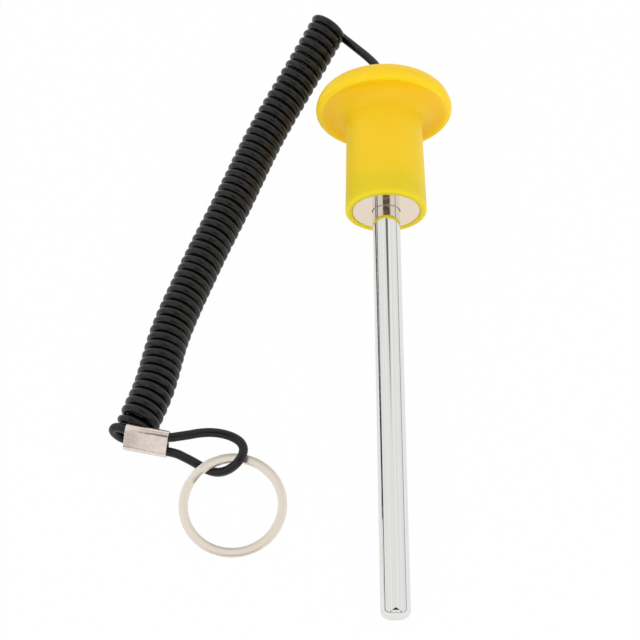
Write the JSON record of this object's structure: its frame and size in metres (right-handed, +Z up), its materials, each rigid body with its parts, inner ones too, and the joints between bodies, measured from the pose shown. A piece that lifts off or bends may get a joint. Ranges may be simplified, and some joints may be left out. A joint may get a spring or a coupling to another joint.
{
  "type": "weight stack pin",
  "caption": "Straight steel selector pin with a yellow moulded knob, a ring magnet and a coiled black safety cord that ends in a crimped loop and a split ring.",
  "frame": {"origin": "on the table, below the middle of the knob and pin as they lie on the knob's rim and the pin's tip", "axes": "+Z up, +Y from the pin's tip towards the knob's head, +X to the right with the coil on the left"},
  "size_m": [0.1234, 0.2411, 0.0511],
  "materials": {
    "knob": "moulded yellow plastic with a satin gloss",
    "pin": "polished chrome-plated steel",
    "magnet": "nickel-plated magnet with a ground face",
    "cord_stop": "plain crimped sleeve",
    "cord": "smooth black polyurethane with a soft gloss",
    "ferrule": "pressed nickel-plated sleeve",
    "split_ring": "nickel-plated flat wire, satin"
  },
  "bodies": {
    "root": {"knob": "knob", "pin": "pin", "magnet": "magnet", "cord_stop": "cord_stop", "cord_lead": "cord", "cord_coil": "cord", "cord_loop": "cord", "ferrule": "ferrule"},
    "ring": {"split_ring": "split_ring"}
  },
  "joints": [
    {"name": "ring_turn", "type": "hinge", "parent": "root", "child": "ring", "pos_m": [-0.0543, -0.0604, 0.00299], "axis": [0, -0.1219, 0.9925], "continuous": true}
  ]
}
